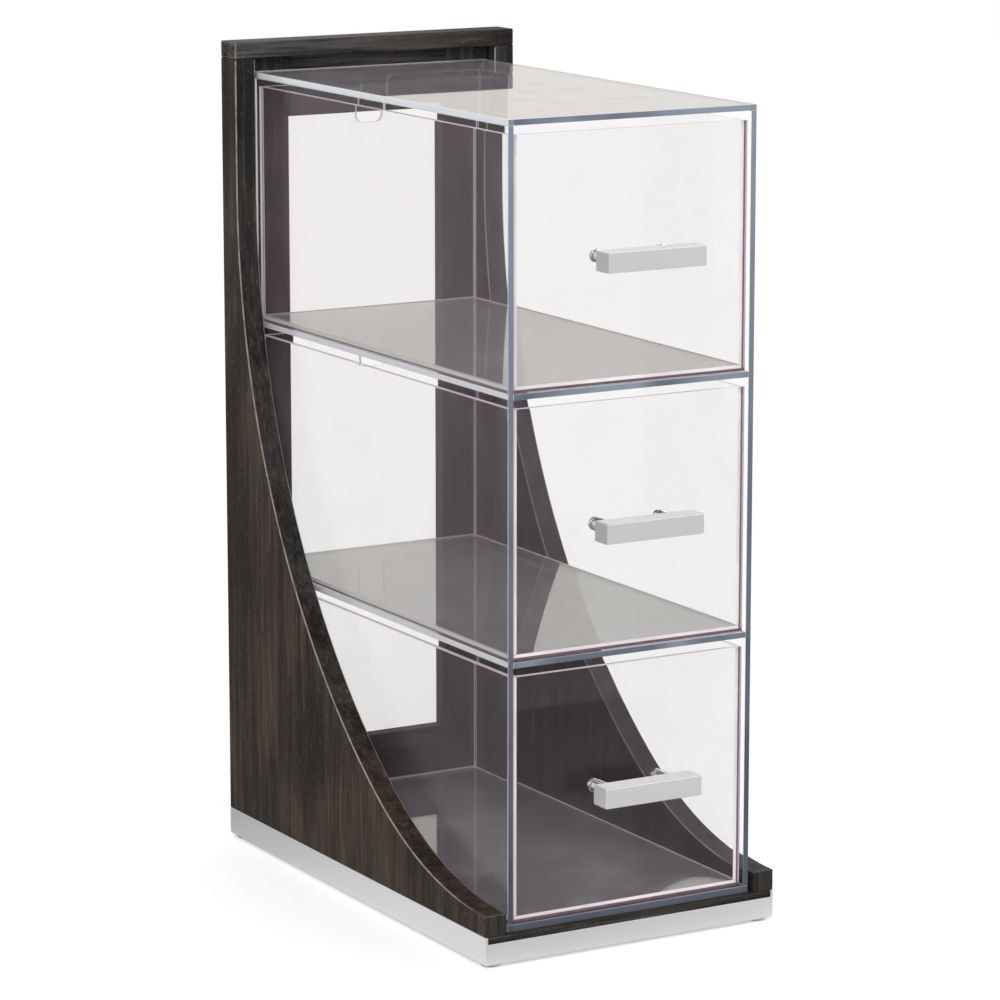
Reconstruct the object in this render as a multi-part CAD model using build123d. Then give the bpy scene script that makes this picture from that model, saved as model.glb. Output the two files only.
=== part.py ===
from build123d import *
import os
from math import cos, radians, sin

# Countertop bread display bin. A stained wooden frame stands on a shallow metal tray and carries a
# clear three-tier case, and a clear drawer with a bar handle slides forward out of each tier.
#
# Millimetres. The origin is on the counter, at the centre of the footprint: +X is to the right as
# the bin is seen from the front, -Y is towards the front, and +Z is up.

# ---- The whole bin ----
bin_width = 183.0            # across the outer faces of the side panels
bin_depth = 304.8            # front lip of the tray to the back of the frame

# ---- Feet and tray ----
foot_diameter = 11.0
foot_height = 1.7
foot_inset = 7.0             # centre of a foot from the tray's two nearest faces
foot_edge = 0.5              # bevel round the foot's lower rim
tray_sheet = 1.5
tray_lip_height = 11.8       # front lip, lower than the other three walls
tray_bend = 1.0              # outer radius of the folds round the bottom

# ---- Wooden frame ----
deck_thick = 14.2
side_thick = 12.7
back_thick = 9.5
cap_thick = 9.5
cap_depth = 18.4             # front to back, and so are the side panels at their tops
case_headroom = 8.2          # top of the case to the underside of the cap
nose_height = 11.8           # front end of a side panel above the deck
sweep_low_radius = 213.0     # lower arc of the side panels' front edge
sweep_join_angle = 54.0      # where the two arcs meet: degrees that the edge has turned from upright
wood_arris = 1.0             # rounding of the long edges
window_width = 101.0
rail_height = 35.0           # upper and lower rails of the back

# ---- Clear case ----
case_sheet = 3.3
case_floor_sheet = 4.2
case_side_gap = 2.3          # between the case and a side panel
case_setback = 2.3           # front of the case behind the front lip
tier_opening = 140.6         # clear height of each tier
tiers = 3

# ---- Drawers ----
drawer_sheet = 3.0
drawer_side_gap = 1.2
drawer_lift = 0.3            # running clearance over the shelf
drawer_headroom = 5.0
handle_rise = 1.0              # middle of the handle above the middle of the drawer
drawer_recess = 2.0          # front of a drawer behind the front edges of the case
drawer_back_gap = 0.4
notch_width = 17.0           # finger notch in the drawer's back
notch_depth = 24.0
notch_corner = 4.0

# ---- Handles ----
bar_length = 60.5
bar_height = 11.0
bar_thick = 12.7
bar_edge = 0.5               # bevel round the bar
spacer_length = 13.3         # drawer front to the back of the bar
spacer_diameter = 8.0
spacer_inset = 10.2          # centre of a spacer from the end of the bar
screw_diameter = 4.0
screw_clearance = 0.2        # round the screw in the spacer and the drawer front
screw_bite = 8.0             # depth of thread in the bar
screw_head_diameter = 7.5
screw_head_height = 2.4
socket_diameter = 2.5
socket_depth = 1.3

# ---- Levels and lines worked out from the sizes above ----
bar_reach = spacer_length + bar_thick
front_overhang = bar_reach - drawer_recess - case_setback
back_y = (bin_depth + front_overhang) / 2
front_y = back_y - bin_depth
half_width = bin_width / 2

tray_bottom = foot_height
lip_top = tray_bottom + tray_lip_height
deck_bottom = tray_bottom + tray_sheet
deck_top = deck_bottom + deck_thick

case_width = bin_width - 2 * (side_thick + case_side_gap)
case_front = front_y + case_setback
case_back = back_y - back_thick
case_inner_half = case_width / 2 - case_sheet
case_inner_back = case_back - case_sheet
tier_pitch = tier_opening + case_sheet
first_tier = deck_top + case_floor_sheet
case_inner_top = first_tier + tiers * tier_pitch - case_sheet
case_top = case_inner_top + case_sheet
cap_bottom = case_top + case_headroom
back_half = half_width - side_thick

drawer_half = case_inner_half - drawer_side_gap
drawer_front = case_front + drawer_recess
drawer_back = case_inner_back - drawer_back_gap
drawer_height = tier_opening - drawer_lift - drawer_headroom
spacer_x = bar_length / 2 - spacer_inset

TIER_NAMES = ["lower", "middle", "upper"]
SIDE_SIGNS = {"left": -1, "right": 1}


def block(x, y, z):
    """A box from three (low, high) pairs."""
    size = [pair[1] - pair[0] for pair in (x, y, z)]
    centre = [(pair[0] + pair[1]) / 2 for pair in (x, y, z)]
    return Pos(*centre) * Box(*size)


def across(half):
    """The (low, high) pair of a width that is centred on the bin."""
    return (-half, half)


def side_span(side, inner, outer):
    """The (low, high) pair in X between two distances from the middle, on one side."""
    return tuple(sorted(SIDE_SIGNS[side] * distance for distance in (inner, outer)))


def rod(x, y, z, diameter):
    """A round bar along Y between a (low, high) pair."""
    length = y[1] - y[0]
    return Pos(x, y[0] + length / 2, z) * Rot(X=90) * Cylinder(diameter / 2, length)


# ---- Feet and tray ----
def foot(x_sign, y_sign):
    disc = Cylinder(foot_diameter / 2, foot_height, align=(Align.CENTER, Align.CENTER, Align.MIN))
    disc = chamfer(disc.edges().group_by(Axis.Z)[0], foot_edge)
    x = x_sign * (half_width - foot_inset)
    y = front_y + foot_inset if y_sign < 0 else back_y - foot_inset
    return Pos(x, y, 0) * disc


def tray():
    whole = block(across(half_width), (front_y, back_y), (tray_bottom, deck_top))
    whole = fillet(whole.edges().group_by(Axis.Z)[0], tray_bend)
    inside = block(
        across(half_width - tray_sheet),
        (front_y + tray_sheet, back_y - tray_sheet),
        (deck_bottom, deck_top),
    )
    over_lip = block(across(half_width - tray_sheet), (front_y, front_y + tray_sheet), (lip_top, deck_top))
    return whole - inside - over_lip


# ---- Wooden frame ----
def deck():
    """The board that fills the tray, with a front edge that comes forward over the lip."""
    width = across(half_width - tray_sheet)
    board = block(width, (front_y + tray_sheet, back_y - tray_sheet), (deck_bottom, deck_top))
    return board + block(width, (front_y, front_y + tray_sheet), (lip_top, deck_top))


def side_panel(side):
    """A panel whose front edge sweeps from upright, under the cap, down to a low nose."""
    turn = radians(sweep_join_angle)
    top_y = back_y - cap_depth
    run = top_y - front_y
    sweep_high_radius = (run - sweep_low_radius * cos(turn)) / (1 - cos(turn))
    nose_top = deck_top + nose_height
    inner, outer = sorted(SIDE_SIGNS[side] * distance for distance in (back_half, half_width))
    with BuildPart() as panel:
        with BuildSketch(Plane.YZ.offset(inner)):
            with BuildLine():
                low_arc = JernArc((front_y, nose_top), (1, 0), sweep_low_radius, 90 - sweep_join_angle)
                high_arc = JernArc(low_arc @ 1, low_arc % 1, sweep_high_radius, sweep_join_angle)
                Polyline(
                    high_arc @ 1,
                    (top_y, cap_bottom),
                    (back_y, cap_bottom),
                    (back_y, deck_top),
                    (front_y, deck_top),
                    (front_y, nose_top),
                )
            make_face()
        extrude(amount=outer - inner)
    solid = panel.part
    swept = solid.edges().filter_by(lambda edge: edge.geom_type == GeomType.CIRCLE)
    upright = solid.edges().filter_by(Axis.Z).filter_by(
        lambda edge: abs(edge.center().Y - top_y) < wood_arris
    )
    return fillet(swept + upright, wood_arris)


def back_stile(side):
    inner = window_width / 2
    return block(side_span(side, inner, back_half), (case_back, back_y), (deck_top, cap_bottom))


def back_rail(bottom):
    return block(across(window_width / 2), (case_back, back_y), (bottom, bottom + rail_height))


def top_cap():
    cap = block(across(half_width), (back_y - cap_depth, back_y), (cap_bottom, cap_bottom + cap_thick))
    return fillet(cap.faces().sort_by(Axis.Z)[-1].edges(), wood_arris)


# ---- Clear case ----
def case_panels():
    full_depth = (case_front, case_back)
    inner_depth = (case_front, case_inner_back)
    inner_height = (first_tier, case_inner_top)
    panels = {
        "case_floor": block(across(case_width / 2), full_depth, (deck_top, first_tier)),
        "case_top": block(across(case_width / 2), full_depth, (case_inner_top, case_top)),
        "case_back": block(across(case_width / 2), (case_inner_back, case_back), inner_height),
    }
    for side in SIDE_SIGNS:
        span = side_span(side, case_inner_half, case_width / 2)
        panels[f"case_side_{side}"] = block(span, inner_depth, inner_height)
    for tier, name in enumerate(TIER_NAMES[1:], start=1):
        top = first_tier + tier * tier_pitch
        panels[f"case_shelf_{name}"] = block(across(case_inner_half), inner_depth, (top - case_sheet, top))
    return panels


# ---- Drawers ----
def drawer_pieces(tier):
    bottom = first_tier + tier * tier_pitch + drawer_lift
    top = bottom + drawer_height
    floor_top = bottom + drawer_sheet
    inside_front = drawer_front + drawer_sheet
    inside_back = drawer_back - drawer_sheet
    handle_z = (bottom + top) / 2 + handle_rise
    front = block(across(drawer_half), (drawer_front, inside_front), (bottom, top))
    back = block(across(drawer_half), (inside_back, drawer_back), (floor_top, top))
    pieces = {
        "floor": block(across(drawer_half), (inside_front, drawer_back), (bottom, floor_top)),
        "back": back - notch(inside_back, top),
    }
    for side in SIDE_SIGNS:
        span = side_span(side, drawer_half - drawer_sheet, drawer_half)
        pieces[f"side_{side}"] = block(span, (inside_front, inside_back), (floor_top, top))
    for side in SIDE_SIGNS:
        x = SIDE_SIGNS[side] * spacer_x
        hole = screw_diameter + 2 * screw_clearance
        front -= rod(x, (drawer_front, inside_front), handle_z, hole)
        pieces[f"spacer_{side}"] = handle_spacer(x, handle_z)
        pieces[f"screw_{side}"] = handle_screw(x, inside_front, handle_z)
    pieces["front"] = front
    pieces["handle"] = handle_bar(handle_z)
    return pieces


def notch(inside_back, top):
    """The cutter for the finger notch: rounded below, and flared at the mouth."""
    lowest = top - notch_depth
    cutter = block(
        across(notch_width / 2), (inside_back, inside_back + drawer_sheet), (lowest, top + notch_corner)
    )
    cutter = fillet(cutter.edges().filter_by(Axis.Y).group_by(Axis.Z)[0], notch_corner)
    mouth = block(
        across(notch_width / 2 + notch_corner),
        (inside_back, inside_back + drawer_sheet),
        (top - notch_corner, top + notch_corner),
    )
    for sign in SIDE_SIGNS.values():
        centre_x = sign * (notch_width / 2 + notch_corner)
        mouth -= rod(
            centre_x, (inside_back, inside_back + drawer_sheet), top - notch_corner, 2 * notch_corner
        )
    return cutter + mouth


# ---- Handles ----
def handle_bar(handle_z):
    bar_back = drawer_front - spacer_length
    bar = block(
        across(bar_length / 2),
        (bar_back - bar_thick, bar_back),
        (handle_z - bar_height / 2, handle_z + bar_height / 2),
    )
    bar = chamfer(bar.edges(), bar_edge)
    for sign in SIDE_SIGNS.values():
        bar -= rod(sign * spacer_x, (bar_back - screw_bite, bar_back), handle_z, screw_diameter)
    return bar


def handle_spacer(x, handle_z):
    span = (drawer_front - spacer_length, drawer_front)
    return rod(x, span, handle_z, spacer_diameter) - rod(
        x, span, handle_z, screw_diameter + 2 * screw_clearance
    )


def handle_screw(x, inside_front, handle_z):
    """A screw from inside the drawer, through its front and the spacer, into the bar."""
    tip = drawer_front - spacer_length - screw_bite
    head_end = inside_front + screw_head_height
    shank = rod(x, (tip, inside_front), handle_z, screw_diameter)
    head = rod(x, (inside_front, head_end), handle_z, screw_head_diameter)
    socket = rod(x, (head_end - socket_depth, head_end), handle_z, socket_diameter)
    return shank + head - socket


# ---- Everything, by name ----
def all_nodes():
    nodes = {"tray": tray(), "deck": deck(), "top_cap": top_cap()}
    for y_sign, end in ((-1, "front"), (1, "back")):
        for side, x_sign in SIDE_SIGNS.items():
            nodes[f"foot_{end}_{side}"] = foot(x_sign, y_sign)
    for side in SIDE_SIGNS:
        nodes[f"side_panel_{side}"] = side_panel(side)
        nodes[f"back_stile_{side}"] = back_stile(side)
    nodes["back_rail_lower"] = back_rail(deck_top)
    nodes["back_rail_upper"] = back_rail(cap_bottom - rail_height)
    nodes.update(case_panels())
    for tier, name in enumerate(TIER_NAMES):
        for piece, shape in drawer_pieces(tier).items():
            nodes[f"drawer_{name}_{piece}"] = shape
    return nodes


os.makedirs("parts", exist_ok=True)
for node, shape in all_nodes().items():
    export_step(shape, f"parts/{node}.step")
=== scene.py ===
# %% [markdown]
# # A three-tier bread display bin, dressed
#
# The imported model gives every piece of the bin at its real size, as plain solids. This script gives
# them their finish. It works in metres, in the model's own frame: +X is right, -Y is the front and
# +Z is up, and the counter is at zero. Each step has a cell of words and then cells of code.

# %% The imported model
from math import cos, radians, sin

import bmesh
import bpy
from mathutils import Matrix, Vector


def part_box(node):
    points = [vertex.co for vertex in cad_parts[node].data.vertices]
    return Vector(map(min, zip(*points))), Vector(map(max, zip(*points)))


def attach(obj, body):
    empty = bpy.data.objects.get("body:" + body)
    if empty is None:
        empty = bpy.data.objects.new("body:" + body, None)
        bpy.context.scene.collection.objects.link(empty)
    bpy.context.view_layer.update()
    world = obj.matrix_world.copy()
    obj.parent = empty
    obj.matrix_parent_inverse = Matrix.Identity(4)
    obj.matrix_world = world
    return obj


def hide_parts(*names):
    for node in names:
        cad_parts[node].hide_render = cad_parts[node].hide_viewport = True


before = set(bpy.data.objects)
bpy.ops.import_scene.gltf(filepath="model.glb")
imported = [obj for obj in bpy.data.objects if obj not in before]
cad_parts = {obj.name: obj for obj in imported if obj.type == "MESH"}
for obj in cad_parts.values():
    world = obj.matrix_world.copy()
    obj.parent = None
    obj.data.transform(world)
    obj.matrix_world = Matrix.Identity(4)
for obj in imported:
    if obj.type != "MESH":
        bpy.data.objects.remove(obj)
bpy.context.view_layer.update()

# %% Sizes that several pieces share
MM = 0.001
TIERS = ("lower", "middle", "upper")
SIDES = {"left": -1, "right": 1}
WORLD_X, WORLD_Y, WORLD_Z = (1, 0, 0), (0, 1, 0), (0, 0, 1)


def spans(node):
    """The (low, high) pairs of a node's box in X, Y and Z."""
    low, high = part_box(node)
    return [(low[axis], high[axis]) for axis in range(3)]


# %% [markdown]
# ## Camera
#
# The camera stands a couple of metres from the bin with a long lens, a little above the counter and
# to the front left. A long lens keeps upright edges almost parallel. The camera is tilted down rather
# than shifted, so that it also works from every other side.

# %% The camera
LENS = 154.9
CAMERA_PLACE = Vector((-1.1845, -2.0521, 0.6954))
TILTED_DOWN, TURNED_RIGHT = 11.30, 29.97  # degrees
BIN_MIDDLE = Vector((0, 0, 0.24))

camera_data = bpy.data.cameras.new("product_camera")
camera_data.sensor_width = 36.0
camera_data.lens = LENS
camera = bpy.data.objects.new("product_camera", camera_data)
camera.location = CAMERA_PLACE
camera.rotation_euler = (radians(90 - TILTED_DOWN), 0, radians(-TURNED_RIGHT))
bpy.context.scene.collection.objects.link(camera)
bpy.context.scene.camera = camera
bpy.context.scene.view_settings.view_transform = "Standard"
print("camera is", round((CAMERA_PLACE - BIN_MIDDLE).length, 2), "m from the bin")

# %% [markdown]
# ## Writing node trees as formulas
#
# A pattern such as wood grain is a sum of simple patterns, and sums are easier to read as formulas
# than as boxes and wires. `Wire` stands for the output of a node, and arithmetic on wires adds Math
# nodes. `Tree` adds any other node. The same two classes write finishes and shapes, because a
# Geometry Nodes tree takes the same Math nodes as a material does.

# %% Wires that can be added and multiplied
class Wire:
    """A node's output. Arithmetic on it adds the Math nodes that work the result out."""

    def __init__(self, tree, made, socket):
        self.tree = tree
        self.made = made
        self.socket = socket

    def out(self, name):
        """Another output of the same node."""
        return Wire(self.tree, self.made, self.made.outputs[name])

    def maths(self, operation, first, second):
        return self.tree.node("ShaderNodeMath", {"operation": operation}, first, second)

    def __add__(self, other):
        return self.maths("ADD", self, other)

    def __sub__(self, other):
        return self.maths("SUBTRACT", self, other)

    def __rsub__(self, other):
        return self.maths("SUBTRACT", other, self)

    def __mul__(self, other):
        return self.maths("MULTIPLY", self, other)

    def __neg__(self):
        return self.maths("MULTIPLY", self, -1)

    def __abs__(self):
        return self.tree.node("ShaderNodeMath", {"operation": "ABSOLUTE"}, self)

    def at_least(self, other):
        return self.maths("MAXIMUM", self, other)

    def at_most(self, other):
        return self.maths("MINIMUM", self, other)

    __radd__ = __add__
    __rmul__ = __mul__


# %% Trees that take any node
class Tree:
    """A node tree being written: a finish, a shape or the world."""

    def __init__(self, node_tree):
        self.node_tree = node_tree
        node_tree.nodes.clear()

    def node(self, kind, settings=None, *values, **named):
        """Adds a node: its settings first, then its sockets by order or by name (_ for a space)."""
        made = self.node_tree.nodes.new(kind)
        for name, value in (settings or {}).items():
            if name == "stops":
                set_stops(made.color_ramp, value)
            else:
                setattr(made, name, value)
        sockets = [socket for socket in made.inputs if socket.enabled]
        for socket, value in zip(sockets, values):
            self.join(socket, value)
        for name, value in named.items():
            label = name.replace("_", " ")
            self.join(next(socket for socket in sockets if socket.name == label), value)
        shown = [socket for socket in made.outputs if socket.enabled]
        return Wire(self, made, shown[0]) if shown else made

    def join(self, socket, value):
        """Links a wire or a list of wires to a socket, or writes a plain value on it."""
        if isinstance(value, Wire):
            self.node_tree.links.new(value.socket, socket)
        elif isinstance(value, list):
            for wire in value:
                self.node_tree.links.new(wire.socket, socket)
        elif socket.type == "RGBA" and len(value) == 3:
            socket.default_value = (*value, 1.0)
        else:
            socket.default_value = value

    def vector(self, x, y, z):
        """Three numbers or wires as one vector."""
        return self.node("ShaderNodeCombineXYZ", None, x, y, z)


def set_stops(ramp, stops):
    """Gives a colour ramp its (position, colour or grey) stops."""
    while len(ramp.elements) > 1:
        ramp.elements.remove(ramp.elements[-1])
    for index, (position, colour) in enumerate(stops):
        element = ramp.elements[0] if index == 0 else ramp.elements.new(position)
        element.position = position
        element.color = (colour, colour, colour, 1) if isinstance(colour, float) else (*colour, 1)


# %% What every finish uses
class Finish(Tree):
    """A material being written, with the patterns that finishes are made from."""

    def __init__(self, name):
        self.material = bpy.data.materials.new(name)
        self.material.use_nodes = True
        super().__init__(self.material.node_tree)
        self.place = self.node("ShaderNodeTexCoord").out("Object")

    def drawn_out(self, axis, ratio):
        """The place for a pattern that is `ratio` times longer along one axis."""
        factors = [1.0, 1.0, 1.0]
        factors[axis] = 1 / ratio
        scale = {"operation": "MULTIPLY"}
        return self.node("ShaderNodeVectorMath", scale, self.place, tuple(factors))

    def noise(self, place, size, detail=3.0, roughness=0.55):
        """Cloudy noise from 0 to 1 whose blotches are about `size` metres across."""
        return self.node(
            "ShaderNodeTexNoise", None, Vector=place, Scale=1 / size, Detail=detail, Roughness=roughness
        )

    def between(self, value, low, high):
        """0 below `low`, 1 above `high` and a smooth step between them."""
        settings = {"interpolation_type": "SMOOTHSTEP"}
        return self.node("ShaderNodeMapRange", settings, value, low, high, 0.0, 1.0)

    def blend(self, factor, first, second):
        """A colour that goes from `first` to `second`."""
        return self.node("ShaderNodeMix", {"data_type": "RGBA"}, factor, first, second)

    def bump(self, height, depth, strength):
        """A normal that leans as if the surface rose by up to `depth` metres."""
        return self.node("ShaderNodeBump", None, Height=height, Distance=depth, Strength=strength)

    def facing(self, axis):
        """How much a face looks along an axis, from -1 to 1."""
        normal = self.node("ShaderNodeNewGeometry").out("True Normal")
        cosine = self.node("ShaderNodeVectorMath", {"operation": "DOT_PRODUCT"}, normal, axis)
        return cosine.out("Value")

    def split(self):
        """The place as single numbers: X straight away, and the others by name."""
        return self.node("ShaderNodeSeparateXYZ", None, self.place)

    def solid(self, **sockets):
        """Ends a finish that light does not pass through, or only softly."""
        return self.done(self.node("ShaderNodeBsdfPrincipled", None, **sockets))

    def done(self, shader):
        self.node("ShaderNodeOutputMaterial", None, Surface=shader)
        print("finish:", self.material.name, "with", len(self.node_tree.nodes), "nodes")
        return self.material


# %% [markdown]
# ## Studio
#
# The bin stands on a white sweep under large soft lamps. White is white only because its colour is:
# the camera, and whatever it sees through the clear sheets, meets a background of strength 1, while
# the light that falls on the bin comes from a quieter world and three lamps. The floor takes shadows
# near the bin and turns to plain white away from it. What shines mirrors the same white sky, but a
# floor that darkens away from the bin, as it does in a real studio, with three paler cards on it:
# one beside the front left corner, one in front and one far behind.

# %% The room
ROOM_AMBIENT = 0.55
ROOM_REFLECTED = 1.0


def room_level(tree, ambient, reflected):
    """A strength of 1 for what is seen straight or through sheets, and less for the other rays."""
    path = tree.node("ShaderNodeLightPath")
    straight = path.at_least(path.out("Is Transmission Ray"))
    scattered = path.out("Diffuse Depth").at_most(1.0)
    bounced = path.out("Glossy Depth").at_most(1.0)
    seen = straight * (1 - scattered) * (1 - bounced)
    glossy = path.out("Is Glossy Ray").at_least(straight)
    mirrored = glossy * (1 - scattered) * (1 - seen)
    return seen + mirrored * reflected + (1 - seen - mirrored) * ambient


world = bpy.data.worlds.new("studio")
world.use_nodes = True
bpy.context.scene.world = world
sky = Tree(world.node_tree)
sky_level = room_level(sky, ROOM_AMBIENT, ROOM_REFLECTED)
background = sky.node("ShaderNodeBackground", None, Color=(1, 1, 1), Strength=sky_level)
sky.node("ShaderNodeOutputWorld", None, Surface=background)
print("sky: 1.0 where it is seen,", ROOM_REFLECTED, "where it is mirrored,", ROOM_AMBIENT, "as light")

# %% How the sweep fades
# Distances are in metres. A pair is a change: its start and its end, or what is in front and behind.
PAPER, PAPER_CLOUD = [(0.78, 0.78, 0.78), (0.80, 0.80, 0.80)], 0.4
PLAIN_WHITE, PLAIN_FROM = 1.03, (0.45, 1.0)
BEHIND_FROM, FILL_FROM = (-0.15, 0.25), (0.0, 0.5)
FLOOR_FILL = (0.46, 0.34)
NEAR_FLOOR, FAR_FLOOR, FADE_FROM = (0.85, 0.65), (0.75, 0.85), (0.30, 0.95)
CORNER_CARD = [(0.10, 0.0), (0.17, 0.95), (0.27, 0.98), (0.36, 0.85), (0.47, 0.30), (0.52, 0.10)]
CORNER_SHIFT, CORNER_WITHIN = 0.3, (0.50, 0.25)
FRONT_CARD, FRONT_FROM, FRONT_WITHIN = 0.45, (0.30, 0.50), (1.2, 0.8)
BACK_CARD, BACK_FROM = 0.60, (1.0, 1.6)


# %% The finish of the sweep
def white_sweep():
    """White paper, plain white away from the bin. What mirrors it sees it fade, and three cards."""
    paper = Finish("white_sweep")
    distance = paper.node("ShaderNodeVectorMath", {"operation": "LENGTH"}, paper.place).out("Value")
    depth = paper.split().out("Y")
    behind = paper.between(depth, *BEHIND_FROM)
    near, far = (front + (back - front) * behind for front, back in (NEAR_FLOOR, FAR_FLOOR))
    mirrored = near + (far - near) * paper.between(distance, *FADE_FROM)
    corner = paper.node("ShaderNodeValToRGB", {"stops": CORNER_CARD}, depth + CORNER_SHIFT)
    corner = corner * paper.between(distance, *CORNER_WITHIN)
    front = paper.between(distance, *FRONT_FROM) * paper.between(distance, *FRONT_WITHIN)
    back = paper.between(distance, *BACK_FROM)
    cards = corner + front * (1 - behind) * FRONT_CARD + back * behind * BACK_CARD
    seen = room_level(paper, 0.0, 0.0)
    away = paper.between(distance, *PLAIN_FROM)
    level = room_level(paper, 1.0, mirrored) - seen * away
    white = paper.blend(paper.noise(paper.place, PAPER_CLOUD), *PAPER)
    shade = paper.node("ShaderNodeVectorMath", {"operation": "SCALE"}, white, Scale=level)
    diffuse = paper.node("ShaderNodeBsdfDiffuse", None, Color=shade)
    before, beyond = FLOOR_FILL
    glow = before + (beyond - before) * paper.between(depth, *FILL_FROM)
    strength = room_level(paper, 0.0, cards) * glow + seen * away * (PLAIN_WHITE - glow)
    fill = paper.node("ShaderNodeEmission", None, Color=(1, 1, 1), Strength=strength)
    return paper.done(paper.node("ShaderNodeAddShader", None, diffuse, fill))


floor_material = white_sweep()

# %% The sweep that the bin stands on
FLOOR_HALF = 4.0

floor_mesh = bpy.data.meshes.new("sweep")
turns = ((-1, -1), (1, -1), (1, 1), (-1, 1))
floor_corners = [(x * FLOOR_HALF, y * FLOOR_HALF, 0) for x, y in turns]
floor_mesh.from_pydata(floor_corners, [], [(0, 1, 2, 3)])
floor_mesh.materials.append(floor_material)
sweep = bpy.data.objects.new("sweep", floor_mesh)
bpy.context.scene.collection.objects.link(sweep)
print("sweep:", 2 * FLOOR_HALF, "m across")

# %% The lamps
LAMP_TARGET = Vector((0, 0, 0.22))
LAMPS = {  # place and side in metres, and power in watts
    "key_lamp": ((-1.3, -1.5, 1.7), 1.2, 22),
    "fill_lamp": ((1.6, -1.2, 1.0), 1.4, 8),
    "back_lamp": ((0.6, 1.6, 1.6), 1.2, 10),
}


def soft_lamp(name, place, size, power):
    """A square area lamp that looks at the bin."""
    data = bpy.data.lights.new(name, "AREA")
    data.size = size
    data.energy = power
    lamp = bpy.data.objects.new(name, data)
    lamp.location = place
    lamp.rotation_euler = (LAMP_TARGET - Vector(place)).to_track_quat("-Z", "Y").to_euler()
    bpy.context.scene.collection.objects.link(lamp)


for lamp_name, settings in LAMPS.items():
    soft_lamp(lamp_name, *settings)
print("lamps:", ", ".join(LAMPS))

# %% [markdown]
# ## Stained wood
#
# The frame is a coarse open-grained wood, brushed so that the grain stands out, stained brown-black
# and finished with a thin satin lacquer. Along the side panels, which are handled most, the stain
# has worn off the edges to a thin pale line. Towards the right the boards are painted greyer, for
# the cool light that falls from that side, and faces that look forward or back are greyer too. The
# cap and the back rails are paler and greyer towards their left end. An image of wood could be
# wrapped round each board, but it would stop at the corners. Here the grain is solid noise, drawn out
# along the board, so that it runs round every corner and shows as dots on the ends, as it does on real
# boards.

# %% The colours of the wood
STAIN_BLACK = (0.0170, 0.0125, 0.0095)
STAIN_DARK = (0.0620, 0.0460, 0.0345)
STAIN_BROWN = (0.1250, 0.0830, 0.0520)
GRAIN_PALE = (0.2100, 0.1850, 0.1550)
PALE_GREY_BROWN = (0.1150, 0.1020, 0.0960)
WORN_EDGE = (0.36, 0.345, 0.32)
BROWN_SHARE, FIBRE_SHARE, FLECK_SHARE = 0.75, 0.6, 0.35
# painted light: the boards turn greyer towards the right, for the cool light from that side
PAINTED_COOL_LIGHT, COOL_LIGHT_FROM = 0.60, (-20 * MM, 90 * MM)
EDGE_GREY = 0.65
PALER_FROM = (-70 * MM, 70 * MM)
GRAIN_DEPTH = 0.2 * MM
MOSTLY = (0.3, 0.7)  # between these squares of a cosine, a face comes to look along an axis


# %% The stained wood
def stained_wood(name, grain, shine=0.15, grey=None, worn=None):
    """Wood whose grain runs along an axis (0 is X, 2 is Z).

    `grey` says how much paler and greyer its left and right ends are, and `worn` how far it is rubbed,
    and where.
    """
    wood = Finish(name)
    clouds = wood.noise(wood.drawn_out(grain, 2.5), 45 * MM, 2.0)
    bands = wood.noise(wood.drawn_out(grain, 16), 7 * MM, 3.0, 0.6)
    streaks = wood.noise(wood.drawn_out(grain, 20), 2.2 * MM, 3.0, 0.6)
    fibres = wood.noise(wood.drawn_out(grain, 30), 0.9 * MM, 2.0, 0.7)
    pores = wood.noise(wood.drawn_out(grain, 5), 0.8 * MM, 2.0)
    tone = wood.between(clouds * 0.4 + bands * 0.35 + streaks * 0.25, 0.40, 0.60)
    warm = wood.between(streaks, 0.52, 0.68) * wood.between(bands * 0.5 + clouds * 0.5, 0.42, 0.60)
    flecks = wood.between(pores, 0.60, 0.74)
    colour = wood.blend(tone, STAIN_BLACK, STAIN_DARK)
    colour = wood.blend(warm * BROWN_SHARE, colour, STAIN_BROWN)
    colour = wood.blend(wood.between(fibres, 0.50, 0.30) * FIBRE_SHARE, colour, STAIN_BLACK)
    place = wood.split()
    if grey:
        left, right = grey
        paler_share = left + (right - left) * wood.between(place, *PALER_FROM)
        colour = wood.blend(tone * paler_share, colour, PALE_GREY_BROWN)
    colour = wood.blend(flecks * FLECK_SHARE, colour, GRAIN_PALE)
    along = wood.facing(WORLD_Y)
    # painted cool light on the right; faces that look forward or back are greyer too
    painted_cool_light = wood.between(place, *COOL_LIGHT_FROM) * PAINTED_COOL_LIGHT
    to_front = wood.between(along * along, *MOSTLY) * EDGE_GREY
    greyed = wood.node("ShaderNodeRGBToBW", None, colour)
    colour = wood.blend(painted_cool_light.at_least(to_front), colour, greyed)
    if worn:
        rubbed = 0.55 + wood.between(wood.noise(wood.place, 9 * MM, 3.0, 0.6), 0.34, 0.56) * 0.45
        colour = wood.blend(rubbed * worn(wood, place), colour, WORN_EDGE)
    relief = fibres * 0.6 + streaks * 0.4 - flecks * 0.3
    return wood.solid(
        Base_Color=colour,
        Roughness=0.55 + fibres * 0.25,
        Specular_IOR_Level=shine,
        Normal=wood.bump(relief, GRAIN_DEPTH, 0.5),
    )


# %% The wood of each board, and where its edges are worn
panel_low, panel_high = spans("side_panel_left")[2]
cap_half = spans("top_cap")[0][1]
UPRIGHT, LEVEL = 2, 0
LEVEL_SHINE = 0.04
CAP_GREY, DECK_GREY = (1.0, 0.0), (0.1, 0.1)
CAP_WEAR = 0.5


def panel_wear(wood, place):
    """All along a side panel's edges, but for its foot and its top end."""
    height = place.out("Z")
    above_foot = wood.between(height, panel_low + 10 * MM, panel_low + 16 * MM)
    return above_foot * wood.between(height, panel_high - 0.5 * MM, panel_high - 1.5 * MM)


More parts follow.
